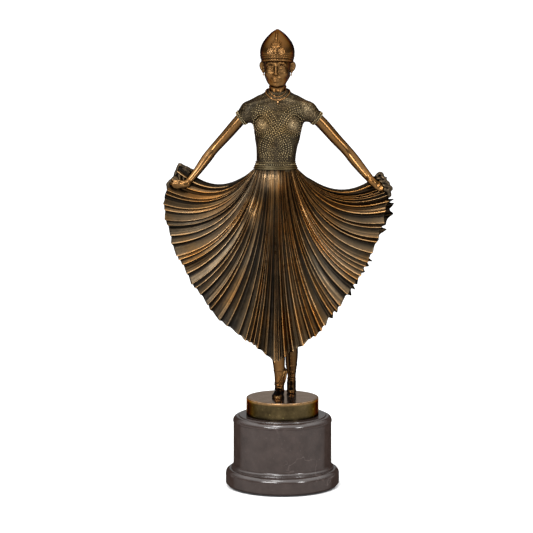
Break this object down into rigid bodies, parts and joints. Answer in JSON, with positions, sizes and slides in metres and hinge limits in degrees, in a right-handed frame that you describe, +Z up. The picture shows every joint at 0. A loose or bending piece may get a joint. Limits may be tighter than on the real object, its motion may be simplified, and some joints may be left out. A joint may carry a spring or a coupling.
{
  "type": "bronze dancer statuette",
  "caption": "Bronze dancer holding out a pleated skirt like a fan, in a pointed beaded cap, on a round bronze plinth over a stepped dark marble base.",
  "frame": {"origin": "on the table, under the centre of the round marble base", "axes": "+Z up through the base's axis; the dancer faces -Y; +X is the dancer's left, the viewer's right"},
  "size_m": [0.2559, 0.1288, 0.5165],
  "materials": {
    "felt": "dense black wool felt",
    "marble": "polished dark marble with fine pale veins",
    "steel": "zinc-plated steel",
    "plinth_bronze": "dark brown patina, rubbed bright on the rim",
    "bronze": "smooth golden-brown patina",
    "skirt_bronze": "golden-brown patina, dark in the folds and rubbed bright on the ridges",
    "bodice_bronze": "dull brown patina over beaded texture"
  },
  "bodies": {
    "root": {"felt_pad": "felt", "marble_step": "marble", "marble_drum": "marble", "clamp_nut": "steel", "clamp_washer": "steel", "clamp_stud": "steel", "foot_screws": "steel", "bronze_plinth": "plinth_bronze", "right_leg": "bronze", "left_leg": "bronze", "waist_plug": "bronze", "skirt_front": "skirt_bronze", "skirt_back": "skirt_bronze", "right_gather": "skirt_bronze", "left_gather": "skirt_bronze", "bodice": "bodice_bronze", "waist_belt": "bodice_bronze", "arm_dowels": "steel", "right_arm": "bronze", "left_arm": "bronze", "neck_dowel": "steel", "head": "bronze", "cap": "bodice_bronze", "earrings": "bronze", "necklace": "bronze"}
  },
  "joints": []
}
